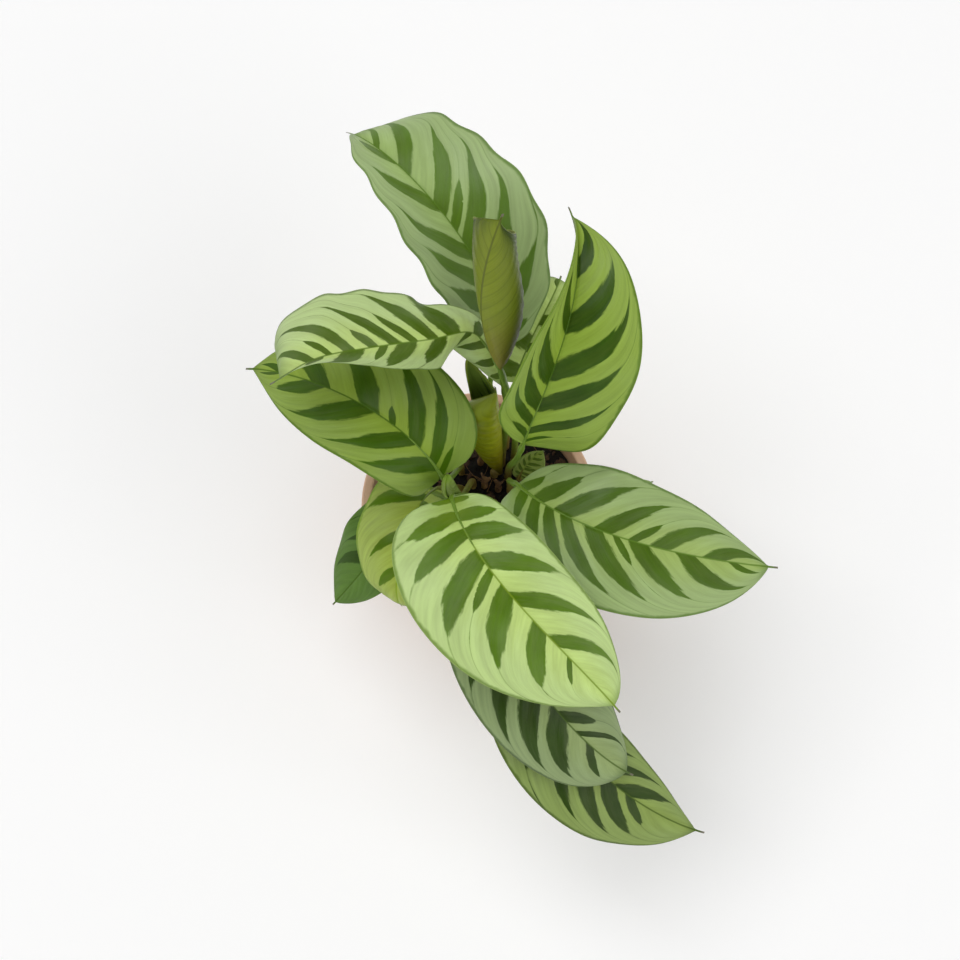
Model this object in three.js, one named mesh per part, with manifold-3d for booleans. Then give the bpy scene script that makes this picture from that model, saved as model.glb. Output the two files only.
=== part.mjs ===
// A calathea in a 12 cm nursery pot, in millimetres, +Z up.
// The origin is the centre of the pot's underside. +X is the viewer's right and +Y is away.
import * as THREE from 'three';
import { mergeVertices } from 'three/addons/utils/BufferGeometryUtils.js';
import Module from 'manifold-3d';

const wasm = await Module();
wasm.setup();

// ---- driving dimensions ----

const POT = {
  height: 105,
  baseRadius: 43,
  neckRadius: 56.4, // outside of the wall just below the rim
  rimRadius: 60,
  rimDrop: 14, // height of the skirt that hangs from the rim
  rimThick: 2,
  wall: 1.5,
  floor: 1.8,
  footRadius: 2, // rounding between the underside and the wall
  drainHoles: 8,
  drainRadius: 4,
  drainRing: 30,
  drainSides: 12,
  sides: 40,
};

const SOIL = {
  top: 93,
  heap: 3.5, // how much higher the soil stands around the crown
  crown: [8, 14],
  heapSpread: 26,
  humps: 0.6,
  humpWaves: [[0.31, 0.27], [0.13, 0.19]], // radians a millimetre, along x and y
  humpShift: 1, // radians
  clearance: 0.3,
  skin: 1, // corners of the turned body this close to its top follow the surface
  ringRadii: [0.2, 0.4, 0.6, 0.8, 1],
};

const STEM = {
  depth: 20, // how deep a stem stands in the soil
  straight: 8, // how far it runs straight above the soil's mean level
  footRadius: 1.8,
  neckRadius: 1.15,
  ribRadius: 0.6,
  ribShares: [0.05, 0.12], // where it goes on under the midrib, as shares of the blade
  rise: 0.35, // how long it holds its upright start, as a share of its reach
  hold: 0.3, // how long it holds the way it arrives
  lift: 0.9, // how much more upright than the midrib it arrives
  holeGap: 0.35,
  sides: 6,
  steps: 8,
};

const BLADE = {
  thick: 0.8,
  dripStart: 0.96, // where the narrow drip tip begins, as a share of the length
  neckHalf: 1.2,
  dripHalf: 0.45,
  basal: 0.4, // how round the foot of a half is
  narrowing: 2.2, // how late a half narrows towards its tip
  waves: 3, // along a margin
  wavePhase: 1.3, // radians by which a margin's waves are shifted
  waveFade: 2.5, // how close to the margin the waves stay
  ridge: 0.8, // how far the midrib stands out below
  rows: 14,
  columns: [-1, -0.68, -0.34, -0.07, 0, 0.07, 0.34, 0.68, 1],
};

const FINISH = {
  pot: { color: 0xcf9a76, roughness: 0.5 },
  soil: { color: 0x1c1512, roughness: 0.95 },
  leaf: { color: 0x5f8a3a, roughness: 0.45 },
  paleLeaf: { color: 0x8aa62f, roughness: 0.45 },
  rolled: { color: 0x858a3f, roughness: 0.45 },
  dried: { color: 0x7a5230, roughness: 0.8 },
};

// Each leaf gives its root in the soil, the points its midrib runs through, which way its upper
// face looks at the foot and at the tip, and the widths of its left and right halves, seen from
// above with the tip ahead. full is where a half is widest, and basal and blunt shape its ends.
// cup and curl are the angles in degrees at which a half leaves the midrib and goes on bending,
// at the foot and at the tip. wave is the height of the margin's waves. Some leaves also have
// - arrive: the way the petiole runs where it meets the blade;
// - sweep: how far the margin is pushed along the midrib at the foot and at the tip;
// - opens: between which shares of its length the rolled foot unrolls into the open blade;
// - neck: how wide the rolled halves are, as a share of the open ones;
// - tight: where a rolled blade narrows, it also curls less.
const LEAVES = [
  {
    name: 'leaf_north', root: [4, 31],
    rib: [[8, 52, 186], [3, 70, 232], [-26, 104, 255], [-59, 138, 238]],
    face: [[0.1, -0.5, 0.86], [0.45, 0, 0.85]],
    half: [25, 36], full: [0.45, 0.5], basal: [0.4, 1.5], blunt: [0.75, 0.42],
    cup: [[24, 20], [24, 20]], curl: [[0, -20], [0, -20]], wave: 1.5,
  },
  {
    name: 'leaf_north_low', root: [14, 33],
    rib: [[18, 51, 148], [24, 62, 172], [32, 74, 188], [39, 91, 186]],
    face: [[0.15, -0.1, 1], [0.15, -0.1, 1]],
    half: [26, 22], full: [0.5, 0.5], blunt: [0.6, 0.6],
    cup: [[12, 8], [12, 8]], curl: [[-10, -25], [-10, -25]], wave: 1,
  },
  {
    name: 'leaf_northeast', root: [15, 16],
    rib: [[19.5, 2, 206], [30, 20, 241], [40, 51, 264], [38, 90, 262]],
    face: [[0.35, 0, 0.93], [0.45, -0.1, 0.88]],
    half: [28, 34], full: [0.36, 0.42], basal: [1.4, 0.48], blunt: [1.15, 1.1],
    cup: [[10, 68], [28, 30]], curl: [[0, 0], [0, 0]], wave: 1.2,
    sweep: [[0, 0], [-16, 0]],
  },
  {
    name: 'leaf_west', root: [12, 24], arrive: [-0.1, 0.15, 1], rows: 24,
    rib: [
      [11.4, 31, 200], [7.2, 34, 227], [-2.5, 39.5, 246], [-20, 32.5, 257],
      [-44, 27.5, 261], [-68, 25, 254], [-91, 23.5, 225],
    ],
    face: [[0.8, -0.5, 0.4], [0.05, -0.53, 0.85]],
    half: [21, 31], full: [0.4, 0.75], basal: [0.9, 3.2], blunt: [2, 0.25],
    cup: [[-25, -30], [-10, -32]], curl: [[-75, -20], [-230, -30]], wave: 1.2, waves: 5,
    sweep: [[0, 0], [0, 13]], opens: [0.12, 0.32], neck: [0.8, 1],
    columns: [-1, -0.8, -0.6, -0.4, -0.2, 0, 0.2, 0.4, 0.6, 0.8, 1],
  },
  {
    name: 'leaf_northwest', root: [-9, 19], arrive: [-0.25, -0.1, 1],
    rib: [[-17, -6, 180], [-42, 15, 202], [-77, 35, 196], [-110, 48, 176]],
    face: [[-0.05, 0, 1], [-0.1, 0, 1]],
    half: [27, 34], full: [0.42, 0.36], basal: [0.28, 0.33], blunt: [1.15, 1.1],
    cup: [[14, 10], [14, 10]], curl: [[0, -15], [0, -15]], wave: 1.2,
  },
  {
    name: 'leaf_southeast', root: [0, -2], arrive: [-0.15, -0.3, 1],
    rib: [[-12, -21, 200], [6, -58, 215], [35, -88, 200], [63, -113, 174]],
    face: [[0, -0.1, 1], [0.1, -0.15, 1]],
    half: [26, 39], full: [0.5, 0.36], basal: [0.33, 0.33], blunt: [0.6, 1],
    cup: [[8, 8], [8, 8]], curl: [[-10, -30], [-10, -30]], wave: 1.2,
  },
  {
    name: 'leaf_east', root: [16, 9],
    rib: [[18, -7, 170], [52, -32, 188], [96, -42, 177], [140, -44, 158]],
    face: [[0, -0.1, 1], [0, -0.1, 1]],
    half: [29, 34], full: [0.4, 0.42], blunt: [1, 0.78],
    cup: [[8, 8], [8, 8]], curl: [[-10, -25], [-10, -25]], wave: 1.4,
  },
  {
    name: 'leaf_east_low', root: [23, 8],
    rib: [[32, -2, 140], [51, -10, 150], [72, -3, 141], [87, 7, 124]],
    face: [[0, 0, 1], [0, 0.2, 1]],
    half: [15, 17], full: [0.45, 0.45], blunt: [0.6, 0.6],
    cup: [[5, 5], [5, 5]], curl: [[-20, -60], [-20, -60]], wave: 1.2,
  },
  {
    name: 'leaf_south', root: [8, 1], arrive: [-0.1, -0.6, 0.8],
    rib: [[0, -48, 160], [16, -85, 172], [42, -118, 160], [72, -138, 136]],
    face: [[0, -0.1, 1], [0, -0.2, 1]],
    half: [26, 31], full: [0.5, 0.5], blunt: [0.6, 0.55],
    cup: [[8, 6], [8, 6]], curl: [[-20, -50], [-20, -50]], wave: 1.2,
  },
  {
    name: 'leaf_south_low', root: [15, 1], arrive: [0.1, -1, 0.1],
    rib: [[19, -78, 126], [39, -118, 138], [72, -147, 120], [110, -163, 96]],
    face: [[0, -0.1, 1], [0, -0.2, 1]],
    half: [21, 31], full: [0.45, 0.45], blunt: [1, 0.95],
    cup: [[10, 6], [10, 6]], curl: [[-10, -30], [-10, -30]], wave: 1.4, waves: 4,
  },
  {
    name: 'leaf_southwest', root: [-8, 8], finish: 'paleLeaf',
    rib: [[-21, 0, 135], [-32, -19, 147], [-39, -43, 140], [-38, -55, 118]],
    face: [[-0.25, 0, 1], [-0.25, 0, 1]],
    half: [24, 26], full: [0.45, 0.36], basal: [0.28, 0.12], blunt: [0.6, 0.6],
    cup: [[8, 6], [8, 6]], curl: [[-10, -30], [-10, -30]], wave: 1,
  },
  {
    name: 'leaf_southwest_low', root: [-14, 12],
    rib: [[-27, 0, 112], [-43, -20, 120], [-60, -37, 107], [-75, -49, 88]],
    face: [[-0.2, -0.1, 1], [-0.2, -0.1, 1]],
    half: [17, 23], full: [0.45, 0.45], blunt: [0.9, 0.8],
    cup: [[8, 6], [8, 6]], curl: [[-10, -40], [-10, -40]], wave: 1,
  },
  {
    name: 'leaf_rolled', root: [18, 23], finish: 'rolled', rows: 14, tight: true,
    rib: [[9, 25, 242], [1.8, 37, 270], [2.9, 47.6, 299], [9.2, 56, 328]],
    face: [[1, 0.3, 0.1], [-0.1, 1, 0.1]],
    half: [41, 27], full: [0.5, 0.5], basal: [0.75, 0.85], blunt: [1.6, 0.25],
    cup: [[0, 0], [0, 0]], curl: [[240, 240], [220, 220]], wave: 0,
    sweep: [[0, -22], [0, -26]],
    columns: [
      -1, -0.88, -0.75, -0.62, -0.5, -0.38, -0.25, -0.12, 0,
      0.12, 0.25, 0.38, 0.5, 0.62, 0.75, 0.88, 1,
    ],
  },
  {
    name: 'leaf_funnel', root: [8, 18], finish: 'paleLeaf', rows: 12,
    rib: [[11, 17, 104], [11, 20, 138], [10, 23, 172], [7.6, 28.6, 205.5]],
    face: [[-1, 0, 0.2], [-1, -0.2, 0.2]],
    half: [17, 33], full: [0.85, 0.85], basal: [0.8, 0.8], blunt: [0.2, 0.2],
    cup: [[0, 0], [0, 0]], curl: [[110, 110], [250, 205]], wave: 0,
    sweep: [[0, 41], [0, -10]],
    columns: [-1, -0.88, -0.75, -0.62, -0.5, -0.38, -0.25, -0.12, 0, 0.25, 0.5, 0.75, 1],
  },
  {
    name: 'leaf_spear', root: [-3, 12], finish: 'paleLeaf', rows: 7,
    rib: [[-9, -7, 150], [-11, -8, 166], [-13, -9, 182], [-14, -9, 198]],
    face: [[0, -1, 0.3], [0, -1, 0.3]],
    half: [10, 12], full: [0.6, 0.6], blunt: [0.4, 0.4],
    cup: [[0, 0], [0, 0]], curl: [[165, 150], [290, 200]], wave: 0,
    columns: [-1, -0.84, -0.67, -0.5, -0.34, -0.17, 0, 0.2, 0.4, 0.6, 0.8, 1],
  },
  {
    name: 'leaf_young', root: [21, 15], finish: 'paleLeaf', rows: 7,
    rib: [[20.5, 12, 114], [22.5, 13, 126], [26.5, 15, 138], [31.5, 15, 150]],
    face: [[-0.3, -0.9, 0.3], [-0.3, -0.8, 0.5]],
    half: [5.5, 9], full: [0.5, 0.5], blunt: [0.8, 0.8],
    cup: [[0, 0], [0, 0]], curl: [[50, 30], [50, 30]], wave: 0,
    columns: [-1, -0.5, 0, 0.5, 1],
  },
];

const SHEATH = {
  rise: 2, // how high above the stem's straight part it begins to open
  half: 3.4,
  full: 0.35,
  blunt: 0.9,
  curl: [90, 40],
  rows: 6,
  columns: [-1, -0.5, 0, 0.5, 1],
  steps: 1,
};

// Dried sheaths: root in the soil, how far the tip leans, its height and which way it opens.
const SHEATHS = [
  { root: [1, 24], lean: [-3, 2], height: 26, opens: [0.8, -0.4, 0] },
  { root: [3, 12], lean: [-1, -2], height: 20, opens: [0.5, 0.8, 0] },
  { root: [10, 10], lean: [1, -2], height: 16, opens: [0, 1, 0] },
  { root: [24, 20], lean: [4, 2], height: 22, opens: [-1, -0.3, 0] },
];

// ---- solids ----

const WELD = 1e-4; // corners closer than this are one

function toSolid(geometry) {
  const bare = geometry.clone();
  bare.deleteAttribute('normal');
  bare.deleteAttribute('uv');
  const merged = mergeVertices(bare, WELD);
  const corners = merged.index.array;
  const whole = [];
  for (let i = 0; i < corners.length; i += 3) {
    const [a, b, c] = corners.subarray(i, i + 3);
    if (a !== b && b !== c && c !== a) whole.push(a, b, c);
  }
  return new wasm.Manifold(new wasm.Mesh({
    numProp: 3,
    vertProperties: Float32Array.from(merged.attributes.position.array),
    triVerts: Uint32Array.from(whole),
  }));
}

function toGeometry(solid) {
  const { vertProperties, triVerts } = solid.getMesh();
  const geometry = new THREE.BufferGeometry();
  geometry.setAttribute('position', new THREE.BufferAttribute(vertProperties, 3));
  geometry.setIndex(new THREE.BufferAttribute(triVerts, 1));
  geometry.computeVertexNormals();
  return geometry;
}

function indexed(points, triangles) {
  const geometry = new THREE.BufferGeometry();
  geometry.setFromPoints(points);
  geometry.setIndex(triangles);
  return geometry;
}

function addMesh(group, name, solid, finish) {
  const material = new THREE.MeshStandardMaterial({ ...FINISH[finish], metalness: 0 });
  const mesh = new THREE.Mesh(toGeometry(solid), material);
  mesh.name = name;
  group.add(mesh);
}

// ---- leaves ----

const NO_CURL = 1e-3; // radians, for a half that doesn't bend

const radians = THREE.MathUtils.degToRad;
const mix = THREE.MathUtils.lerp;
const clamp01 = (x) => THREE.MathUtils.clamp(x, 0, 1);

// The smooth curve through a midrib's points: one cubic through four, a chain through more.
function curveThrough(points) {
  const knots = points.map((p) => new THREE.Vector3(...p));
  if (knots.length > 4) return new THREE.CatmullRomCurve3(knots, false, 'catmullrom', 0.5);
  const [a, b, c, d] = knots;
  const blend = (wa, wb, wc, wd) => new THREE.Vector3()
    .addScaledVector(a, wa / 6).addScaledVector(b, wb / 6)
    .addScaledVector(c, wc / 6).addScaledVector(d, wd / 6);
  return new THREE.CubicBezierCurve3(a, blend(-5, 18, -9, 2), blend(2, -9, 18, -5), d);
}

// How far the blade has left the shape of its foot for the shape of its tip, at u from 0 at
// the foot to 1 at the tip.
function unrolled(leaf, u) {
  return leaf.opens ? THREE.MathUtils.smoothstep(u, ...leaf.opens) : u;
}

function halfWidth(leaf, side, u) {
  const w = clamp01(u / BLADE.dripStart);
  const full = leaf.full[side];
  const basal = leaf.basal ? leaf.basal[side] : BLADE.basal;
  const foot = (1 - ((full - w) / full) ** 2) ** basal;
  const tip = (1 - clamp01((w - full) / (1 - full)) ** BLADE.narrowing) ** leaf.blunt[side];
  const rolled = leaf.neck ? leaf.neck[side] : 1;
  const half = leaf.half[side] * mix(rolled, 1, unrolled(leaf, u)) * (w < full ? foot : tip);
  return Math.max(half, mix(BLADE.neckHalf, BLADE.dripHalf, u));
}

// Point and axes on the midrib: along it, out of the upper face and to the left.
function ribFrame(leaf, curve, u) {
  const point = curve.getPoint(u);
  const along = curve.getTangent(u);
  const [foot, tip] = leaf.face.map((f) => new THREE.Vector3(...f).normalize());
  const up = foot.lerp(tip, unrolled(leaf, u));
  up.addScaledVector(along, -up.dot(along)).normalize();
  return { point, along, up, left: up.clone().cross(along) };
}

// Angles at which a half leaves the midrib and goes on bending.
function bending(leaf, side, u, half) {
  const share = unrolled(leaf, u);
  const narrow = leaf.tight && u > leaf.full[side] ? half / leaf.half[side] : 1;
  return {
    cup: radians(mix(...leaf.cup[side], share)),
    curl: radians(mix(...leaf.curl[side], share)) * narrow || NO_CURL,
  };
}

// How far a margin is pushed along the midrib.
function sweepAt(leaf, side, u) {
  const [atFoot, atTip] = leaf.sweep ? leaf.sweep[side] : [0, 0];
  return atFoot * (1 - u) ** 4 + atTip * u ** 4;
}

// Middle surface of the blade at u along it and v across it, from -1 at the right margin to 1.
function bladePoint(leaf, frame, u, v) {
  const side = v > 0 ? 0 : 1;
  const sign = Math.sign(v);
  const s = Math.abs(v);
  const half = halfWidth(leaf, side, u);
  const { cup, curl } = bending(leaf, side, u, half);
  const out = (half / curl) * (Math.sin(cup + curl * s) - Math.sin(cup));
  const rise = (-half / curl) * (Math.cos(cup + curl * s) - Math.cos(cup));
  const wide = Math.min(half / leaf.half[side], 1);
  const turn = 2 * Math.PI * (leaf.waves ?? BLADE.waves) * u + sign * BLADE.wavePhase;
  const ripple = leaf.wave * Math.sin(turn) * s ** BLADE.waveFade * wide;
  return frame.point.clone()
    .addScaledVector(frame.left, sign * out)
    .addScaledVector(frame.up, rise + ripple)
    .addScaledVector(frame.along, s * s * wide * sweepAt(leaf, side, u));
}

// Grid of middle-surface points with the surface normal at each.
function bladeGrid(leaf) {
  const curve = curveThrough(leaf.rib);
  const rows = leaf.rows ?? BLADE.rows;
  const columns = leaf.columns ?? BLADE.columns;
  const grid = [];
  for (let i = 0; i <= rows; i += 1) {
    const u = i / rows;
    const frame = ribFrame(leaf, curve, u);
    grid.push(columns.map((v) => bladePoint(leaf, frame, u, v)));
  }
  const normals = grid.map((row, i) => row.map((_, j) => {
    const ahead = grid[Math.min(i + 1, rows)][j].clone().sub(grid[Math.max(i - 1, 0)][j]);
    const last = columns.length - 1;
    const leftward = row[Math.min(j + 1, last)].clone().sub(row[Math.max(j - 1, 0)]);
    return ahead.cross(leftward).normalize();
  }));
  return { grid, normals, columns, rows };
}

// The blade as two like-split sheets joined round the edge, with a ridge below the midrib.
function bladeGeometry(leaf) {
  const { grid, normals, columns, rows } = bladeGrid(leaf);
  const count = columns.length;
  const points = [];
  for (const side of [1, -1]) {
    grid.forEach((row, i) => row.forEach((point, j) => {
      const ridge = side < 0 && columns[j] === 0 ? BLADE.ridge * (1 - i / rows) : 0;
      const lift = side * (BLADE.thick / 2 + ridge);
      points.push(point.clone().addScaledVector(normals[i][j], lift));
    }));
  }
  const upper = (i, j) => i * count + j;
  const lower = (i, j) => (rows + 1) * count + i * count + j;
  const triangles = [];
  const quad = (a, b, c, d) => triangles.push(a, b, c, a, c, d);
  for (let i = 0; i < rows; i += 1) {
    for (let j = 0; j < count - 1; j += 1) {
      const [a, b, c, d] = [[i, j], [i + 1, j], [i + 1, j + 1], [i, j + 1]];
      quad(upper(...a), upper(...b), upper(...c), upper(...d));
      triangles.push(lower(...a), lower(...c), lower(...b), lower(...a), lower(...d), lower(...c));
    }
    quad(upper(i + 1, 0), upper(i, 0), lower(i, 0), lower(i + 1, 0));
    quad(upper(i, count - 1), upper(i + 1, count - 1), lower(i + 1, count - 1), lower(i, count - 1));
  }
  for (let j = 0; j < count - 1; j += 1) {
    quad(upper(0, j), upper(0, j + 1), lower(0, j + 1), lower(0, j));
    quad(upper(rows, j + 1), upper(rows, j), lower(rows, j), lower(rows, j + 1));
  }
  return indexed(points, triangles);
}

// ---- stems ----

// Centre line and radius of a petiole: straight up out of the soil, over to the blade's foot
// and on under the midrib.
function stemPath(leaf) {
  const rib = curveThrough(leaf.rib);
  const foot = rib.getPoint(0);
  const [x, y] = leaf.root;
  const bottom = new THREE.Vector3(x, y, SOIL.top - STEM.depth);
  const clear = new THREE.Vector3(x, y, SOIL.top + STEM.straight);
  const reach = clear.distanceTo(foot);
  const arrive = leaf.arrive ? new THREE.Vector3(...leaf.arrive)
    : rib.getTangent(0).add(new THREE.Vector3(0, 0, STEM.lift));
  const bend = new THREE.CubicBezierCurve3(
    clear,
    clear.clone().add(new THREE.Vector3(0, 0, reach * STEM.rise)),
    foot.clone().addScaledVector(arrive.normalize(), -reach * STEM.hold),
    foot,
  );
  const path = [{ point: bottom, radius: STEM.footRadius }];
  const steps = leaf.steps ?? STEM.steps;
  for (let i = 0; i <= steps; i += 1) {
    const t = i / steps;
    path.push({ point: bend.getPoint(t), radius: mix(STEM.footRadius, STEM.neckRadius, t) });
  }
  for (const u of STEM.ribShares) {
    const frame = ribFrame(leaf, rib, u);
    const point = frame.point.addScaledVector(frame.up, -BLADE.thick / 2);
    const share = u / STEM.ribShares.at(-1);
    path.push({ point, radius: mix(STEM.neckRadius, STEM.ribRadius, share) });
  }
  return path;
}

// A closed tube with many sides along a path, its rings turned as little as they can be.
function tubeGeometry(path, sides) {
  const tangents = path.map((_, i) => path[Math.min(i + 1, path.length - 1)].point.clone()
    .sub(path[Math.max(i - 1, 0)].point).normalize());
  const across = new THREE.Vector3(1, 0, 0);
  const points = [];
  path.forEach(({ point, radius }, i) => {
    across.addScaledVector(tangents[i], -across.dot(tangents[i])).normalize();
    const other = tangents[i].clone().cross(across);
    for (let k = 0; k < sides; k += 1) {
      const angle = (2 * Math.PI * k) / sides;
      points.push(point.clone()
        .addScaledVector(across, radius * Math.cos(angle))
        .addScaledVector(other, radius * Math.sin(angle)));
    }
  });
  const triangles = [];
  for (let i = 0; i < path.length - 1; i += 1) {
    for (let k = 0; k < sides; k += 1) {
      const [a, b] = [i * sides + k, i * sides + ((k + 1) % sides)];
      triangles.push(a, b, b + sides, a, b + sides, a + sides);
    }
  }
  const end = (path.length - 1) * sides;
  for (let k = 1; k < sides - 1; k += 1) {
    triangles.push(0, k + 1, k, end, end + k, end + k + 1);
  }
  return indexed(points, triangles);
}

function addLeaf(group, leaf) {
  const blade = toSolid(bladeGeometry(leaf));
  const stem = toSolid(tubeGeometry(stemPath(leaf), STEM.sides));
  addMesh(group, leaf.name, blade.add(stem), leaf.finish ?? 'leaf');
}

// A dried sheath is a short narrow leaf that has curled round its own length.
function sheathLeaf(sheath, index) {
  const [x, y] = sheath.root;
  const foot = SOIL.top + STEM.straight + SHEATH.rise;
  const rib = [0, 1 / 3, 2 / 3, 1].map((t) => [
    x + sheath.lean[0] * t * t,
    y + sheath.lean[1] * t * t,
    foot + sheath.height * t,
  ]);
  return {
    name: `old_sheath_${index + 1}`, root: sheath.root, rib, finish: 'dried',
    face: [sheath.opens, sheath.opens], half: [SHEATH.half, SHEATH.half],
    full: [SHEATH.full, SHEATH.full], blunt: [SHEATH.blunt, SHEATH.blunt],
    cup: [[0, 0], [0, 0]], curl: [SHEATH.curl, SHEATH.curl], wave: 0,
    rows: SHEATH.rows, columns: SHEATH.columns, steps: SHEATH.steps,
  };
}

// ---- pot and soil ----

// A turned shape from a half profile of [radius, height] points, closed on the axis.
function turned(profile, sides) {
  const outline = profile.map(([r, z]) => new THREE.Vector2(r, z));
  return new THREE.LatheGeometry(outline, sides).rotateX(Math.PI / 2);
}

function potSolid() {
  const inner = POT.neckRadius - POT.wall;
  const underRim = POT.height - POT.rimThick;
  const skirtFoot = POT.height - POT.rimDrop;
  const skirtInner = POT.rimRadius - POT.rimThick;
  const soften = POT.rimThick / 2;
  const body = turned([
    [0, 0],
    [POT.baseRadius - POT.footRadius, 0],
    [POT.baseRadius, POT.footRadius],
    [POT.neckRadius, underRim],
    [skirtInner, underRim],
    [skirtInner, skirtFoot],
    [POT.rimRadius, skirtFoot],
    [POT.rimRadius, POT.height - soften],
    [POT.rimRadius - soften, POT.height],
    [inner + soften, POT.height],
    [inner, POT.height - soften],
    [POT.baseRadius - POT.wall, POT.floor + POT.footRadius],
    [POT.baseRadius - POT.wall - POT.footRadius, POT.floor],
    [0, POT.floor],
  ], POT.sides);
  let pot = toSolid(body);
  for (let i = 0; i < POT.drainHoles; i += 1) {
    const angle = (2 * Math.PI * i) / POT.drainHoles;
    const hole = new THREE.CylinderGeometry(
      POT.drainRadius,
      POT.drainRadius,
      POT.rimDrop,
      POT.drainSides,
    );
    hole.rotateX(Math.PI / 2);
    hole.translate(POT.drainRing * Math.cos(angle), POT.drainRing * Math.sin(angle), 0);
    pot = pot.subtract(toSolid(hole));
  }
  return pot;
}

// Height of the soil: a low heap round the crown and a few shallow humps.
function soilHeight(x, y) {
  const [cx, cy] = SOIL.crown;
  const off = Math.hypot(x - cx, y - cy) / SOIL.heapSpread;
  const [[ax, ay], [bx, by]] = SOIL.humpWaves;
  const humps = Math.sin(x * ax + SOIL.humpShift) * Math.cos(y * ay) + Math.sin(x * bx - y * by);
  return SOIL.top + SOIL.heap * Math.exp(-off * off) + SOIL.humps * humps;
}

function soilSolid(leaves) {
  const foot = POT.floor + POT.footRadius;
  const slope = (POT.neckRadius - POT.baseRadius) / (POT.height - POT.rimThick / 2 - foot);
  const wallAt = (z) => POT.baseRadius - POT.wall + slope * (z - foot);
  const bottom = POT.floor + SOIL.clearance;
  const edge = wallAt(SOIL.top - SOIL.humps * 2) - SOIL.clearance;
  const corner = POT.footRadius + SOIL.clearance;
  const rings = [...SOIL.ringRadii].reverse().map((share) => [edge * share, SOIL.top]);
  const body = turned([
    [0, bottom],
    [POT.baseRadius - POT.wall - corner, bottom],
    [wallAt(bottom + corner) - SOIL.clearance, bottom + corner],
    ...rings,
    [0, SOIL.top],
  ], POT.sides);
  const position = body.attributes.position;
  for (let i = 0; i < position.count; i += 1) {
    if (position.getZ(i) > SOIL.top - SOIL.skin) {
      position.setZ(i, soilHeight(position.getX(i), position.getY(i)));
    }
  }
  let soil = toSolid(body);
  for (const { root: [x, y] } of leaves) {
    const radius = STEM.footRadius + STEM.holeGap;
    const ends = [SOIL.top - STEM.depth - STEM.holeGap, SOIL.top + STEM.straight];
    const path = ends.map((z) => ({ point: new THREE.Vector3(x, y, z), radius }));
    soil = soil.subtract(toSolid(tubeGeometry(path, STEM.sides)));
  }
  return soil;
}

const plant = new THREE.Group();
const leaves = [...LEAVES, ...SHEATHS.map(sheathLeaf)];
addMesh(plant, 'pot', potSolid(), 'pot');
addMesh(plant, 'soil', soilSolid(leaves), 'soil');
for (const leaf of leaves) addLeaf(plant, leaf);

export default plant;
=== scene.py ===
"""A calathea in a nursery pot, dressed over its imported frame. Sizes are in millimetres until a
mesh is made. The floor, the lights and the materials are in metres."""
import math

import bpy
import numpy as np
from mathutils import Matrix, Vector


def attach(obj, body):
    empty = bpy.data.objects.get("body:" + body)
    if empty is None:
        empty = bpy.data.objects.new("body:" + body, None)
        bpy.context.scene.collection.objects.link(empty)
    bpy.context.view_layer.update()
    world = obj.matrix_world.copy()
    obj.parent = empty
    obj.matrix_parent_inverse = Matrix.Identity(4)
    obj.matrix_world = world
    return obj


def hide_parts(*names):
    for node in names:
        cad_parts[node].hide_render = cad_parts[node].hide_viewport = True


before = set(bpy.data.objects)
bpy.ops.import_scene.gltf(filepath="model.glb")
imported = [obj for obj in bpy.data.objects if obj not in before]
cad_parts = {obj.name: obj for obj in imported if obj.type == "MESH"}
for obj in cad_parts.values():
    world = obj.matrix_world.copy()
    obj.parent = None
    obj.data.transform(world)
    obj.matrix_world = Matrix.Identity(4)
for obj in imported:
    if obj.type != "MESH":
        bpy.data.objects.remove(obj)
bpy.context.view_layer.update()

MM = 0.001
SEED = 20

# ---- camera ----

CAMERA_PLACE = Vector((0.6, -182.3, 832.6)) * MM
CAMERA_TILT = 15  # degrees away from straight down
CAMERA_LENS = 55.1
CAMERA_SENSOR = 36

# ---- sizes shared with the frame ----

DRIP_START = 0.96  # share of the length where the narrow drip tip begins
NECK_HALF = 1.2
DRIP_HALF = 0.45
BASAL = 0.4  # how round the foot of a half is
NARROWING = 2.2  # how late a half narrows towards its tip
WAVES = 3  # along a margin
WAVE_PHASE = 1.3  # radians
WAVE_FADE = 2.5  # how close to the margin the waves stay
RIDGE = 0.8  # how far the midrib stands out below

STEM_DEPTH = 20  # how deep a stem stands in the soil
STEM_STRAIGHT = 8  # how far it runs straight above it
STEM_FOOT = 1.8  # its radius in the soil, where it meets the blade and under the midrib
STEM_NECK = 1.15
STEM_RIB = 0.6
STEM_RISE = 0.35  # share of its reach over which it holds its upright start
STEM_HOLD = 0.3  # how long it holds the way it arrives
STEM_LIFT = 0.9  # how much more upright than the midrib it arrives

POT_HEIGHT = 105
POT_FOOT = 43  # outer radius at the foot, below the rim and of the rim
POT_NECK = 56.4
POT_RIM = 60
RIM_DROP = 14  # height of the skirt that hangs from the rim
RIM_THICK = 2
POT_WALL = 1.5
POT_FLOOR = 1.8
POT_CORNER = 2  # between floor and wall
DRAIN_HOLES = 8
DRAIN_RADIUS = 4
DRAIN_RING = 30

SOIL_TOP = 93
SOIL_HEAP = 3.5  # how much higher the soil stands around the crown
SOIL_CROWN = (8, 14)
HEAP_SPREAD = 26
SOIL_HUMPS = 0.6
HUMP_WAVES = ((0.31, 0.27), (0.13, 0.19))  # radians a millimetre, along x and y
HUMP_SHIFT = 1  # radians
SOIL_GAP = 0.3  # between soil and pot

# ---- finer sizes, only in the dressed part ----

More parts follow.
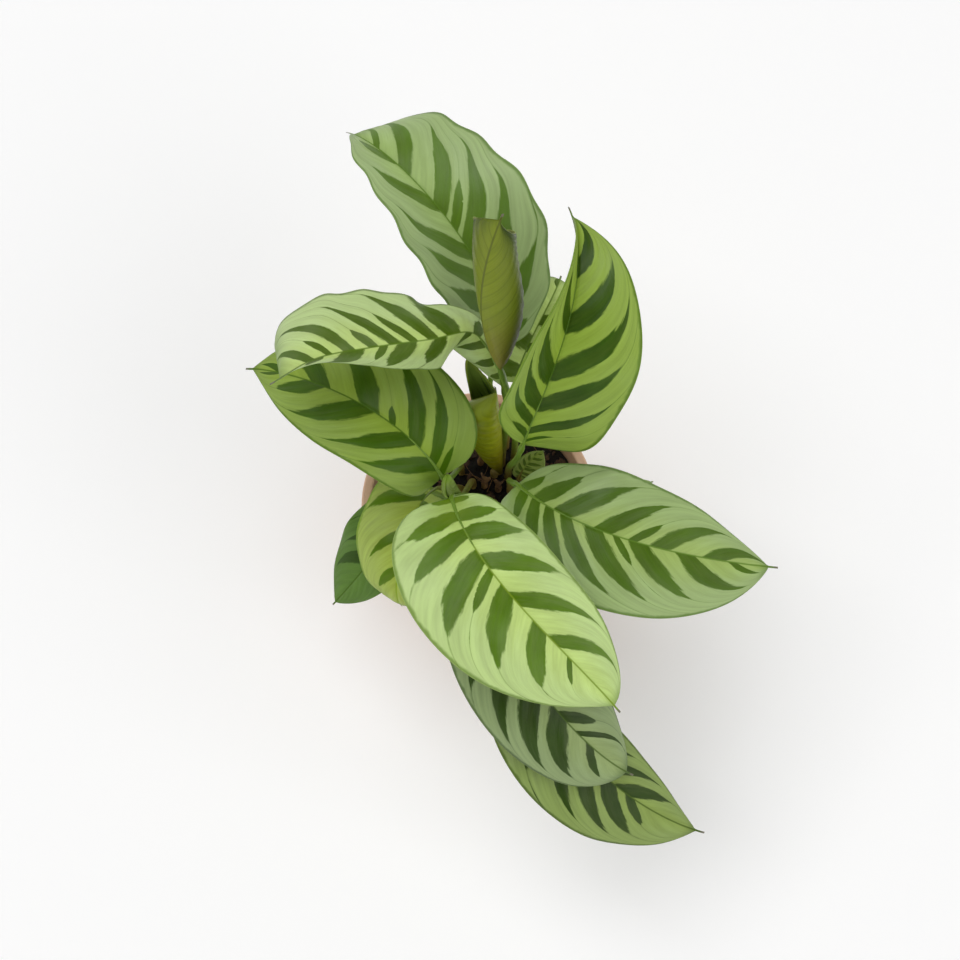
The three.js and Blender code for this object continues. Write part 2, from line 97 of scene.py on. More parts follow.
BLADE_THICK = 0.45
QUILT = 0.22  # how far the blade swells up between two side veins
VEIN_PITCH = 0.07  # from one side vein to the next, as a share of the length
QUILT_FADE = 6  # it fades nearer to the midrib than this
GROOVE = (0.3, 0.8)  # depth and half width of the groove over the midrib
RIDGE_HALF = 0.9
SCALLOPS = 7.5  # along a margin
SCALLOP_HALF = 12  # narrower halves have lower ones
SWELL = (0.45, 6, 4)  # a petiole's swelling: how thick, how far below the blade, how long
NO_CURL = 1e-3  # radians, for a flat half
FINE_SIDES = 160  # of the pot and the soil
SOIL_REACH = 51  # how far out crumbs and fibres lie

# Each leaf: root in the soil, points on its midrib (rib), where its upper face looks at foot and
# tip, and the widths of its left and right halves, seen from above with the tip ahead. full is
# where a half is widest, and basal and blunt shape its ends. cup and curl are the degrees at which
# a half leaves the midrib and goes on bending, at foot and tip, one pair or one for each half.
# wave and waves are the height and number of the margin's waves. Some leaves also have
# - arrive: the way the petiole runs where it meets the blade;
# - sweep: how far each margin is pushed along the midrib, at foot and tip;
# - opens: between which shares of the length the rolled foot unrolls;
# - neck: how wide the rolled halves are, as a share of the open ones;
# - tight: where a rolled blade narrows, it also curls less;
# - scallop: how high the scallops of each margin are;
# - slant: over which shares of the length the side veins come to slant, and how much in each half;
# - bands: the dark bands of each half as (start on the midrib, half width, reach towards the
#   margin), the first two as shares of the length and the last of the half width.
COMMON_BANDS = (
    ((0.04, 0.025, 0.7), (0.14, 0.03, 0.8), (0.27, 0.034, 0.82), (0.42, 0.036, 0.78),
     (0.58, 0.034, 0.74), (0.75, 0.03, 0.66)),
    ((0.08, 0.024, 0.74), (0.19, 0.03, 0.8), (0.33, 0.034, 0.8), (0.4, 0.016, 0.36),
     (0.49, 0.036, 0.76), (0.66, 0.034, 0.7), (0.82, 0.02, 0.5)),
)
LEAVES = {
    "leaf_north": dict(
        root=(4, 31), rib=((8, 52, 186), (3, 70, 232), (-26, 104, 255), (-59, 138, 238)),
        face=((0.1, -0.5, 0.86), (0.45, 0, 0.85)), half=(25, 36), full=(0.45, 0.5),
        blunt=(0.75, 0.42), basal=(0.4, 1.5), cup=(24, 20), curl=(0, -20), wave=1.5,
        scallop=(0.9, 0.8), look="mint",
        bands=(
            ((0.06, 0.024, 0.7), (0.14, 0.026, 0.8), (0.23, 0.028, 0.78), (0.32, 0.03, 0.78),
             (0.425, 0.03, 0.8), (0.595, 0.032, 0.72), (0.785, 0.034, 0.5)),
            ((0.1, 0.024, 0.8), (0.2, 0.026, 0.85), (0.32, 0.03, 0.86), (0.44, 0.03, 0.84),
             (0.51, 0.016, 0.44), (0.575, 0.028, 0.74), (0.725, 0.028, 0.86), (0.845, 0.014, 0.5)),
        ),
    ),
    "leaf_north_low": dict(
        root=(14, 33), rib=((18, 51, 148), (24, 62, 172), (32, 74, 188), (39, 91, 186)),
        face=((0.15, -0.1, 1), (0.15, -0.1, 1)), half=(26, 22), full=(0.5, 0.5), blunt=(0.6, 0.6),
        cup=(12, 8), curl=(-10, -25), wave=1, look="pale",
        bands=(
            ((0.1, 0.05, 0.8), (0.34, 0.07, 0.8), (0.9, 0.03, 0.4)),
            ((0.1, 0.035, 0.8), (0.3, 0.045, 0.8), (0.55, 0.05, 0.7)),
        ),
    ),
    "leaf_northeast": dict(
        root=(15, 16), rib=((19.5, 2, 206), (30, 20, 241), (40, 51, 264), (38, 90, 262)),
        face=((0.35, 0, 0.93), (0.45, -0.1, 0.88)), half=(28, 34), full=(0.36, 0.42),
        blunt=(1.15, 1.1), basal=(1.4, 0.48), cup=((10, 68), (28, 30)), curl=(0, 0), wave=1.2,
        look="deep", sweep=((0, 0), (-16, 0)), slant=(-0.3, 0.2, 1, 1.1),
        bands=(
            ((0.05, 0.026, 0.7), (0.135, 0.026, 0.84), (0.225, 0.034, 0.86), (0.35, 0.042, 0.82),
             (0.545, 0.038, 0.7), (0.735, 0.034, 0.5)),
            ((0.02, 0.01, 0.5), (0.09, 0.02, 0.86), (0.225, 0.036, 0.82), (0.37, 0.04, 0.88),
             (0.55, 0.042, 0.78), (0.75, 0.038, 0.78)),
        ),
    ),
    "leaf_west": dict(
        root=(12, 24), arrive=(-0.1, 0.15, 1),
        rib=((11.4, 31, 200), (7.2, 34, 227), (-2.5, 39.5, 246), (-20, 32.5, 257),
             (-44, 27.5, 261), (-68, 25, 254), (-91, 23.5, 225)),
        face=((0.8, -0.5, 0.4), (0.05, -0.53, 0.85)), half=(21, 31), full=(0.4, 0.75),
        blunt=(2, 0.25), basal=(0.9, 3.2), cup=((-25, -30), (-10, -32)),
        curl=((-75, -20), (-230, -30)), opens=(0.12, 0.32), neck=(0.8, 1), scallop=(0, 0.7),
        sweep=((0, 0), (0, 13)), wave=1.2, waves=5, look="pale", slant=(0.33, 0.6, 0.25, 0.95),
        bands=(
            ((0.08, 0.016, 0.7), (0.17, 0.018, 0.76), (0.26, 0.018, 0.76), (0.35, 0.016, 0.6),
             (0.465, 0.024, 0.74), (0.566, 0.027, 0.86), (0.632, 0.012, 0.56), (0.72, 0.032, 1.0),
             (0.83, 0.022, 0.6)),
            ((0.05, 0.016, 0.76), (0.13, 0.018, 0.78), (0.22, 0.018, 0.76), (0.31, 0.018, 0.8),
             (0.415, 0.026, 1.1), (0.49, 0.018, 0.9), (0.548, 0.012, 0.52), (0.6, 0.018, 0.8),
             (0.66, 0.014, 0.32), (0.73, 0.018, 0.8), (0.79, 0.01, 0.36), (0.85, 0.014, 0.5)),
        ),
    ),
    "leaf_northwest": dict(
        root=(-9, 19), arrive=(-0.25, -0.1, 1),
        rib=((-17, -6, 180), (-42, 15, 202), (-77, 35, 196), (-110, 48, 176)),
        face=((-0.05, 0, 1), (-0.1, 0, 1)), half=(27, 34), full=(0.42, 0.36), blunt=(1.15, 1.1),
        basal=(0.28, 0.33), cup=(14, 10), curl=(0, -15), wave=1.2, look="olive",
        slant=(-0.3, 0.2, 1, 1),
        bands=(
            ((0.07, 0.036, 0.9), (0.215, 0.038, 0.88), (0.43, 0.048, 0.84), (0.645, 0.044, 0.6),
             (0.82, 0.02, 0.4)),
            ((0.01, 0.014, 0.5), (0.075, 0.024, 0.86), (0.185, 0.034, 0.86), (0.3, 0.014, 0.2),
             (0.405, 0.044, 0.74), (0.62, 0.042, 0.62), (0.8, 0.026, 0.5)),
        ),
    ),
    "leaf_southeast": dict(
        root=(0, -2), arrive=(-0.15, -0.3, 1),
        rib=((-12, -21, 200), (6, -58, 215), (35, -88, 200), (63, -113, 174)),
        face=((0, -0.1, 1), (0.1, -0.15, 1)), half=(26, 39), full=(0.5, 0.36), blunt=(0.6, 1),
        basal=0.33, cup=(8, 8), curl=(-10, -30), wave=1.2, look="brightly_lit",
        slant=(-0.02, 0.45, 1, 0.85),
        bands=(
            ((0.015, 0.014, 0.7), (0.09, 0.02, 0.86), (0.165, 0.027, 0.9), (0.285, 0.032, 0.9),
             (0.445, 0.034, 0.88), (0.635, 0.03, 0.84)),
            ((0.01, 0.012, 0.6), (0.085, 0.02, 0.8), (0.16, 0.022, 0.82), (0.262, 0.03, 0.84),
             (0.325, 0.015, 0.46), (0.41, 0.034, 0.74), (0.57, 0.034, 0.68), (0.715, 0.012, 0.38)),
        ),
    ),
    "leaf_east": dict(
        root=(16, 9), rib=((18, -7, 170), (52, -32, 188), (96, -42, 177), (140, -44, 158)),
        face=((0, -0.1, 1), (0, -0.1, 1)), half=(29, 34), full=(0.4, 0.42), blunt=(1, 0.78),
        cup=(8, 8), curl=(-10, -25), wave=1.4, look="cool", slant=(-0.1, 0.3, 1.05, 1.05),
        bands=(
            ((0.03, 0.018, 0.6), (0.105, 0.025, 0.76), (0.208, 0.035, 0.84), (0.36, 0.034, 0.76),
             (0.468, 0.017, 0.4), (0.56, 0.034, 0.82), (0.75, 0.042, 0.9)),
            ((0.045, 0.016, 0.6), (0.1, 0.017, 0.7), (0.158, 0.018, 0.76), (0.225, 0.024, 0.82),
             (0.328, 0.036, 0.78), (0.41, 0.013, 0.34), (0.49, 0.036, 0.72), (0.65, 0.038, 0.8),
             (0.82, 0.018, 0.46)),
        ),
    ),
    "leaf_east_low": dict(
        root=(23, 8), rib=((32, -2, 140), (51, -10, 150), (72, -3, 141), (87, 7, 124)),
        face=((0, 0, 1), (0, 0.2, 1)), half=(15, 17), full=(0.45, 0.45), blunt=(0.6, 0.6),
        cup=(5, 5), curl=(-20, -60), wave=1.2, look="cool",
    ),
    "leaf_south": dict(
        root=(8, 1), arrive=(-0.1, -0.6, 0.8),
        rib=((0, -48, 160), (16, -85, 172), (42, -118, 160), (72, -138, 136)),
        face=((0, -0.1, 1), (0, -0.2, 1)), half=(26, 31), full=(0.5, 0.5), blunt=(0.6, 0.55),
        cup=(8, 6), curl=(-20, -50), wave=1.2, look="shaded",
        bands=(
            ((0.05, 0.026, 0.7), (0.16, 0.03, 0.8), (0.3, 0.032, 0.8), (0.46, 0.034, 0.76),
             (0.615, 0.026, 0.46), (0.7, 0.014, 0.8)),
            ((0.09, 0.026, 0.74), (0.19, 0.034, 0.86), (0.31, 0.038, 0.9), (0.46, 0.044, 0.88),
             (0.6, 0.042, 0.76), (0.765, 0.02, 0.5)),
        ),
    ),
    "leaf_south_low": dict(
        root=(15, 1), arrive=(0.1, -1, 0.1),
        rib=((19, -78, 126), (39, -118, 138), (72, -147, 120), (110, -163, 96)),
        face=((0, -0.1, 1), (0, -0.2, 1)), half=(21, 31), full=(0.45, 0.45), blunt=(1, 0.95),
        cup=(10, 6), curl=(-10, -30), wave=1.4, waves=4, look="deep_shade",
        bands=(
            ((0.06, 0.026, 0.7), (0.2, 0.03, 0.8), (0.35, 0.032, 0.84), (0.49, 0.032, 0.86),
             (0.63, 0.042, 0.72)),
            ((0.08, 0.026, 0.74), (0.2, 0.03, 0.8), (0.33, 0.032, 0.84), (0.45, 0.034, 0.8),
             (0.565, 0.036, 0.7), (0.665, 0.022, 0.42)),
        ),
    ),
    "leaf_southwest": dict(
        root=(-8, 8), rib=((-21, 0, 135), (-32, -19, 147), (-39, -43, 140), (-38, -55, 118)),
        face=((-0.25, 0, 1), (-0.25, 0, 1)), half=(24, 26), full=(0.45, 0.36), blunt=(0.6, 0.6),
        basal=(0.28, 0.12), cup=(8, 6), curl=(-10, -30), wave=1, look="fresh",
        slant=(-0.05, 0.35, 1, 1.25),
        bands=(
            ((0.06, 0.025, 0.7), (0.2, 0.03, 0.8), (0.4, 0.034, 0.8), (0.6, 0.034, 0.7)),
            ((0.03, 0.02, 0.6), (0.14, 0.034, 0.94), (0.4, 0.032, 0.7), (0.64, 0.036, 0.56)),
        ),
    ),
    "leaf_southwest_low": dict(
        root=(-14, 12), rib=((-27, 0, 112), (-43, -20, 120), (-60, -37, 107), (-75, -49, 88)),
        face=((-0.2, -0.1, 1), (-0.2, -0.1, 1)), half=(17, 23), full=(0.45, 0.45),
        blunt=(0.9, 0.8), cup=(8, 6), curl=(-10, -40), wave=1, look="shaded_forest",
        bands=(
            ((0.1, 0.03, 0.7), (0.25, 0.035, 0.7), (0.45, 0.04, 0.6)),
            ((0.08, 0.03, 0.8), (0.2, 0.034, 0.8), (0.36, 0.038, 0.78), (0.53, 0.044, 0.84)),
        ),
    ),
    "leaf_rolled": dict(
        root=(18, 23), rib=((9, 25, 242), (1.8, 37, 270), (2.9, 47.6, 299), (9.2, 56, 328)),
        face=((1, 0.3, 0.1), (-0.1, 1, 0.1)), half=(41, 27), full=(0.5, 0.5),
        blunt=(1.6, 0.25), basal=(0.75, 0.85), cup=(0, 0), curl=((240, 240), (220, 220)),
        tight=True, sweep=((0, -22), (0, -26)), slant=(-0.6, 0, 2.2, 2.2), wave=0, look="rolled",
    ),
    "leaf_funnel": dict(
        root=(8, 18), rib=((11, 17, 104), (11, 20, 138), (10, 23, 172), (7.6, 28.6, 205.5)),
        face=((-1, 0, 0.2), (-1, -0.2, 0.2)), half=(17, 33), full=(0.85, 0.85), blunt=(0.2, 0.2),
        basal=0.8, cup=(0, 0), curl=((110, 110), (250, 205)), sweep=((0, 41), (0, -10)),
        wave=0, look="funnel",
    ),
    "leaf_spear": dict(
        root=(-3, 12), rib=((-9, -7, 150), (-11, -8, 166), (-13, -9, 182), (-14, -9, 198)),
        face=((0, -1, 0.3), (0, -1, 0.3)), half=(10, 12), full=(0.6, 0.6), blunt=(0.4, 0.4),
        cup=(0, 0), curl=((165, 150), (290, 200)), wave=0, look="fresh",
    ),
    "leaf_young": dict(
        root=(21, 15), rib=((20.5, 12, 114), (22.5, 13, 126), (26.5, 15, 138), (31.5, 15, 150)),
        face=((-0.3, -0.9, 0.3), (-0.3, -0.8, 0.5)), half=(5.5, 9), full=(0.5, 0.5),
        blunt=(0.8, 0.8), cup=(0, 0), curl=(50, 30), wave=0, look="young",
    ),
}

# Dried sheaths: root in the soil, how far the tip leans, height and the side that is open.
SHEATHS = {
    "old_sheath_1": dict(root=(1, 24), lean=(-3, 2), height=26, opens=(0.8, -0.4, 0)),
    "old_sheath_2": dict(root=(3, 12), lean=(-1, -2), height=20, opens=(0.5, 0.8, 0)),
    "old_sheath_3": dict(root=(10, 10), lean=(1, -2), height=16, opens=(0, 1, 0)),
    "old_sheath_4": dict(root=(24, 20), lean=(4, 2), height=22, opens=(-1, -0.3, 0)),
}

# Colours of a leaf: the light ground and the dark bands, each by the midrib and further out, the
# border, the midrib, the pale and banded parts of the back and the painted sheen: paler patches
# painted into the colour where gloss would reflect. glow is the share of light that passes
# through, where it isn't GLOW. Two also have depth, how strong the bands on the back are, outer,
# its colour by the margin, and foot, the leaf's colour up to foot_end.
GLOW = 0.12
DRY_TIP = "7d7567"
LOOKS = {
    "cool": dict(light=("a0b864", "9eb576"), dark=("476609", "4a6913"), border="567a26",
                 rib="5c7f20", back=("8d9e66", "6f8450"), painted_sheen="b4c8a2"),
    "mint": dict(light=("9eb86c", "9fb57a"), dark=("557518", "587828"), border="567a26",
                 rib="5c7f20", back=("8d9e66", "6f8450"), painted_sheen="a9c09a"),
    # a lighter copy for the west and north_low leaves: painted light
    "pale": dict(light=("bbd278", "b9cf8c"), dark=("486306", "49650c"), border="54741b",
                 rib="597816", back=("8d9e66", "6f8450"), painted_sheen="c6d6b2"),
    # a lighter copy for the southeast leaf, which faces up: painted light
    "brightly_lit": dict(light=("c2db7e", "bed68b"), dark=("4f7102", "56790f"), border="65881c",
                   rib="79951c", back=("98ab68", "7a9052"), painted_sheen="c0d8a0", glow=0.14),
    "deep": dict(light=("94b03e", "91ab49"), dark=("304e00", "325201"), border="456b03",
                 rib="476b02", back=("8a9c58", "6c8044"), painted_sheen="9fb98a"),
    "olive": dict(light=("8ea83c", "8aa348"), dark=("3a5a00", "3c5e00"), border="456b03",
                  rib="476b02", back=("8a9c58", "6c8044"), painted_sheen="8fa86c"),
    # darker green for the low southwest leaf, partly its own colour and partly painted shade
    "shaded_forest": dict(light=("5c7f30", "5a7d30"), dark=("2f4c02", "304e04"), border="5a7f20",
                   rib="466502", back=("8a9c58", "6c8044"), painted_sheen="78986a"),
    # a darker copy for the south leaf: painted shade
    "shaded": dict(light=("92a568", "90a370"), dark=("2c4209", "2f470e"), border="3f5b1d",
                   rib="455f16", back=("86966a", "6a7c52"), painted_sheen="9fb094"),
    # darker still, for the low south leaf: painted shade
    "deep_shade": dict(light=("8a9f4d", "8a9f57"), dark=("273f01", "294002"), border="3b5607",
                 rib="435c07", back=("86965c", "6a7c48"), painted_sheen="9ab07c"),
    "fresh": dict(light=("b4c853", "b4c866"), dark=("587b01", "5d8303"), border="719c09",
                  rib="92b208", back=("8fa84e", "728c34"), painted_sheen="b0c878", glow=0.25),
    "young": dict(light=("a9bb62", "a5b866"), dark=("5f7a24", "647e2c"), border="7f9446",
                  rib="93a84c", back=("93a855", "6a8030"), painted_sheen="b4c490", glow=0.25),
    # inside of the funnel darkened: painted shade; the back is partly its own yellow-green, partly
    # painted light
    "funnel": dict(light=("66802c", "667e30"), dark=("2c4604", "304a08"), border="98a83c",
                   rib="6a8c10", back=("b0b81e", "8a8418"), painted_sheen="98a840", glow=0.2,
                   depth=0.14, outer="74820a", foot_end=0.7, foot="84681c"),
    "rolled": dict(light=("8a9040", "8c9450"), dark=("757c2c", "737a30"), border="66761c",
                   rib="5a6324", back=("808e28", "536610"), painted_sheen="9c9650",
                   depth=0.14, outer="364802", foot_end=0.42, foot="907e40"),
}


# ---- mesh helpers ----


def add_object(name, data):
    added = bpy.data.objects.new(name, data)
    bpy.context.scene.collection.objects.link(added)
    return added


def new_object(name, points, faces):
    """A smooth mesh object from points in metres and lists of corner indices."""
    mesh = bpy.data.meshes.new(name)
    mesh.from_pydata([tuple(p) for p in points], [], [tuple(map(int, f)) for f in faces])
    mesh.update()
    mesh.shade_smooth()
    return add_object(name, mesh)


def settle(piece, node, slot, *materials):
    """Gives a piece its materials and lets it stand for its CAD node."""
    for material in materials:
        piece.data.materials.append(material)
    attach(piece, "root")
    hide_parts(node)


def grid_faces(rows, columns, start=0, flip=False, closed=False):
    """Quads over a grid of points stored row by row."""
    i, j = np.meshgrid(np.arange(rows - 1), np.arange(columns if closed else columns - 1),
                       indexing="ij")
    after = (j + 1) % columns
    here, ahead = i * columns, (i + 1) * columns
    quads = np.stack([here + j, ahead + j, ahead + after, here + after], -1)
    quads = quads.reshape(-1, 4) + start
    return quads[:, ::-1] if flip else quads


def shell_faces(rings, sides):
    """Faces over closed rings of points, followed by one point below them and one above."""
    faces = grid_faces(rings, sides, flip=True, closed=True).tolist()
    lowest, highest, top = rings * sides, rings * sides + 1, (rings - 1) * sides
    for k in range(sides):
        after = (k + 1) % sides
        faces.append([after, k, lowest])
        faces.append([top + k, top + after, highest])
    return faces


def unit(vectors):
    length = np.linalg.norm(vectors, axis=-1, keepdims=True)
    return vectors / np.maximum(length, 1e-12)


# ---- leaf shape ----

# u runs along the midrib from 0 at the foot to 1 at the tip, and v across the blade from -1 at
# the right margin to 1 at the left. s is v without its sign, and q is where on the midrib the
# side vein through a point starts. side is 0 for the left half and 1 for the right.


def cubic(control, t):
    """Points and slopes of a cubic curve with four control points."""
    a, b, c, d = control
    s = 1 - t
    point = s ** 3 * a + 3 * s * s * t * b + 3 * s * t * t * c + t ** 3 * d
    return point, s * s * (b - a) + 2 * s * t * (c - b) + t * t * (d - c)


def along_rib(points, u):
    """Points and unit tangents of the smooth curve through a midrib's points.

    Four points are joined by one cubic, and more of them by a chain of cubics."""
    p = np.asarray(points, float)
    u = np.asarray(u, float)[:, None]
    if len(p) == 4:
        a, b, c, d = p
        point, slope = cubic((a, (-5 * a + 18 * b - 9 * c + 2 * d) / 6,
                              (2 * a - 9 * b + 18 * c - 5 * d) / 6, d), u)
        return point, unit(slope)
    p = np.concatenate([[2 * p[0] - p[1]], p, [2 * p[-1] - p[-2]]])
    last = len(p) - 4
    k = np.minimum((u[:, 0] * (last + 1)).astype(int), last)
    t = u * (last + 1) - k[:, None]
    before, here, there, after = p[k], p[k + 1], p[k + 2], p[k + 3]
    point, slope = cubic((here, here + (there - before) / 6, there - (after - here) / 6, there), t)
    return point, unit(slope)


def rib_frame(leaf, u):
    """Points and axes on the midrib: along it, out of the upper face and to the left."""
    point, along = along_rib(leaf["rib"], u)
    foot, tip = unit(np.array(leaf["face"], float))
    share = unrolled(leaf, np.asarray(u, float))[:, None]
    up = foot * (1 - share) + tip * share
    up = unit(up - (up * along).sum(1, keepdims=True) * along)
    return point, along, up, np.cross(up, along)


def unrolled(leaf, u):
    """How far the blade has left the shape of its foot for the shape of its tip."""
    if "opens" not in leaf:
        return u
    start, end = leaf["opens"]
    share = np.clip((u - start) / (end - start), 0, 1)
    return share * share * (3 - 2 * share)


def half_width(leaf, side, u):
    w = np.clip(u / DRIP_START, 0, 1)
    full = leaf["full"][side]
    basal = np.broadcast_to(leaf.get("basal", BASAL), 2)[side]
    foot = np.clip(1 - ((full - w) / full) ** 2, 0, 1) ** basal
    tip = (1 - np.clip((w - full) / (1 - full), 0, 1) ** NARROWING) ** leaf["blunt"][side]
    least = NECK_HALF + (DRIP_HALF - NECK_HALF) * u
    rolled = leaf.get("neck", (1, 1))[side]
    share = rolled + (1 - rolled) * unrolled(leaf, u)
    half = leaf["half"][side] * share * np.where(w < full, foot, tip)
    scallop = leaf.get("scallop", (0, 0))[side] * np.sin(2 * np.pi * SCALLOPS * u + 2 * side)
    return np.maximum(half + scallop * np.minimum(half / SCALLOP_HALF, 1), least)


def side_pair(value):
    """The same pair of angles for both halves, unless each half has its own."""
    return value if isinstance(value[0], tuple) else (value, value)


def blade_sheet(leaf, u, v):
    """Middle surface of a blade, with how far each point lies from the midrib."""
    point, along, up, left = rib_frame(leaf, u)
    share = unrolled(leaf, u)
    sheet = np.zeros((len(u), len(v), 3))
    distance = np.zeros((len(u), len(v)))
    for j, across in enumerate(v):
        side = 0 if across > 0 else 1
        sign, s = np.sign(across), abs(across)
        half = half_width(leaf, side, u)
        cup_foot, cup_tip = side_pair(leaf["cup"])[side]
        curl_foot, curl_tip = side_pair(leaf["curl"])[side]
        cup = np.radians(cup_foot + (cup_tip - cup_foot) * share)
        curl = np.radians(curl_foot + (curl_tip - curl_foot) * share)
        if leaf.get("tight"):
            curl = curl * np.where(u > leaf["full"][side], half / leaf["half"][side], 1)
        curl = np.where(np.abs(curl) < NO_CURL, NO_CURL, curl)
        out = half / curl * (np.sin(cup + curl * s) - np.sin(cup))
        rise = -half / curl * (np.cos(cup + curl * s) - np.cos(cup))
        wide = np.minimum(half / leaf["half"][side], 1)
        turn = 2 * np.pi * leaf.get("waves", WAVES) * u + sign * WAVE_PHASE
        rise = rise + leaf["wave"] * np.sin(turn) * s ** WAVE_FADE * wide
        at_foot, at_tip = leaf.get("sweep", ((0, 0), (0, 0)))[side]
        push = s * s * wide * (at_foot * (1 - u) ** 4 + at_tip * u ** 4)
        sheet[:, j] = (point + (sign * out)[:, None] * left + rise[:, None] * up
                       + push[:, None] * along)
        distance[:, j] = half * s
    return sheet, distance


# ---- leaf pattern ----

SLANT = (-0.05, 0.35, 1, 1)
VEIN_RUN = ((0.2, 1), (0.1, 3), (0.12, 8))  # shares of the length, with their powers of s
BAND_SWELL = 1.1  # how much a dark band widens on its way out
BAND_POINT = 2.1  # how late it narrows to its point
RIB_UNIT = 10.0  # millimetres from the midrib to one unit of the UV map "vein"


def vein_start(leaf, u, v):
    """Where on the midrib the veins through the points at u and v start."""
    begin, full, left, right = leaf.get("slant", SLANT)
    starts = np.linspace(-0.6, 1.1, 400)
    t = np.clip((starts - begin) / (full - begin), 0, 1)
    shift = sum(share * abs(v) ** power for share, power in VEIN_RUN) * (left if v > 0 else right)
    return np.interp(u, starts + shift * t * t * (3 - 2 * t), starts)


def lens(r):
    """Half width of a dark band at a share r of its reach, as a share of that at the midrib."""
    return (r * BAND_SWELL + 1.0) * (1.0 - r ** BAND_POINT)


def band_places(bands, q, s):
    """For each face, how far its corners lie across and along the band that is nearest to it."""
    middle_q, middle_s = q.mean(1), s.mean(1)
    gaps = [np.abs(middle_q - start) / half - lens(np.clip(middle_s / reach, 0, 1))
            for start, half, reach in bands]
    start, half, reach = np.array(bands)[np.argmin(gaps, axis=0)].T
    return (q - start[:, None]) / half[:, None], s / reach[:, None]


def paint_leaf(piece, leaf, u, v, distance, first_faces):
    """UV maps that the leaf's material reads: place on the blade, its vein and its band."""
    rows, columns = len(u), len(v)
    corners = np.array([list(p.vertices) for p in piece.data.polygons][:first_faces])
    on_grid = corners % (rows * columns)
    cu, cv = u[on_grid // columns], v[on_grid % columns]
    left = cv.mean(1) > 0
    s = np.abs(cv)
    starts = np.stack([vein_start(leaf, u, x) for x in v], 1).ravel()
    q = starts[on_grid]
    across, reach = np.zeros_like(q), np.zeros_like(q)
    for side, mask in ((0, left), (1, ~left)):
        bands = leaf.get("bands", COMMON_BANDS)[side]
        across[mask], reach[mask] = band_places(bands, q[mask], s[mask])
    spare = sum(p.loop_total for p in piece.data.polygons) - corners.size
    pad = np.zeros((spare, 2))
    for name, a, b in (
        ("blade", cu, cv),
        ("vein", q, np.sign(cv) * distance.ravel()[on_grid] / RIB_UNIT),
        ("band", across, reach),
    ):
        values = np.concatenate([np.stack([a, b], -1).reshape(-1, 2), pad])
        layer = piece.data.uv_layers.new(name=name)
        layer.data.foreach_set("uv", values.astype(np.float32).ravel())


# ---- leaves ----


def across_shares(count):
    """Places across a blade from margin to margin, closer together by the midrib."""
    half = np.linspace(0, 1, count) ** 1.15
    half = np.unique(np.concatenate([half, [0.015, 0.05]]))
    return np.concatenate([-half[:0:-1], half])


def stem_path(leaf):
    """Centre line and radius of a petiole, up to where it has become the midrib's ridge."""
    foot, tangent = (x[0] for x in along_rib(leaf["rib"], [0.0]))
    x, y = leaf["root"]
    clear = np.array([x, y, SOIL_TOP + STEM_STRAIGHT], float)
    reach = np.linalg.norm(foot - clear)
    arrive = unit(np.array(leaf.get("arrive", tangent + (0, 0, STEM_LIFT)), float))
    t = np.linspace(0, 1, leaf.get("stem_steps", 40) + 1)
    bend, _ = cubic((clear, clear + (0, 0, STEM_RISE * reach),
                     foot - STEM_HOLD * reach * arrive, foot), t[:, None])
    thick, below, spread = SWELL
    swell = thick * np.exp(-(((1 - t) * reach - below) / spread) ** 2) * leaf.get("swell", 1)
    radius = STEM_FOOT + (STEM_NECK - STEM_FOOT) * t + swell
    under = np.array([0.02, 0.05, 0.08, 0.12, 0.2, 0.3])
    point, _, up, _ = rib_frame(leaf, under)
    ridge = np.interp(under, [0, 0.12, 0.3], [STEM_NECK, STEM_RIB, 0.3])
    sunk = point - up * BLADE_THICK / 2
    bottom = [(x, y, SOIL_TOP - STEM_DEPTH)]
    return np.concatenate([bottom, bend, sunk]), np.concatenate([[STEM_FOOT], radius, ridge])


def tube(path, radius, sides):
    """Points and faces of a closed tube along a path."""
    tangent = unit(np.gradient(path, axis=0))
    across = np.array([1.0, 0, 0])
    angle = np.linspace(0, 2 * np.pi, sides, endpoint=False)
    rings = []
    for point, along, r in zip(path, tangent, radius):
        across = unit(across - (across @ along) * along)
        other = np.cross(along, across)
        rings.append(point + r * (np.outer(np.cos(angle), across)
                                  + np.outer(np.sin(angle), other)))
    faces = grid_faces(len(path), sides, flip=True, closed=True).tolist()
    faces.append(list(range(sides))[::-1])
    faces.append([(len(path) - 1) * sides + k for k in range(sides)])
    return np.concatenate(rings), faces


def blade_mesh(leaf, rows, columns):
    """Points and faces of a blade with veins pressed in above and a ridge below."""
    u, v = np.linspace(0, 1, rows), across_shares(columns)
    sheet, distance = blade_sheet(leaf, u, v)
    normal = unit(np.cross(np.gradient(sheet, axis=0), np.gradient(sheet, axis=1)))
    s = np.abs(v)[None, :]
    q = np.stack([vein_start(leaf, u, x) for x in v], 1)
    quilt = leaf.get("quilt", QUILT) * np.cos(2 * np.pi * q / VEIN_PITCH)
    quilt = quilt * np.sin(np.pi * s) ** 0.7 * np.minimum(distance / QUILT_FADE, 1)
    depth, half = GROOVE
    groove = depth * np.exp(-((distance / half) ** 2))
    ridge = RIDGE * (1 - u[:, None]) * np.exp(-((distance / RIDGE_HALF) ** 2))
    upper = sheet + (quilt + BLADE_THICK / 2 - groove)[..., None] * normal
    lower = sheet + (quilt - BLADE_THICK / 2 - ridge)[..., None] * normal
    wide = len(v)
    count = rows * wide
    grid = np.arange(count).reshape(rows, wide)
    border = np.concatenate([grid[:, 0], grid[-1, 1:], grid[-2::-1, -1], grid[0, -2:0:-1]])
    after = np.roll(border, -1)
    rim = np.stack([border, border + count, after + count, after], -1)
    faces = [grid_faces(rows, wide), grid_faces(rows, wide, count, flip=True), rim]
    points = np.concatenate([upper.reshape(-1, 3), lower.reshape(-1, 3)])
    return points, faces, u, v, distance


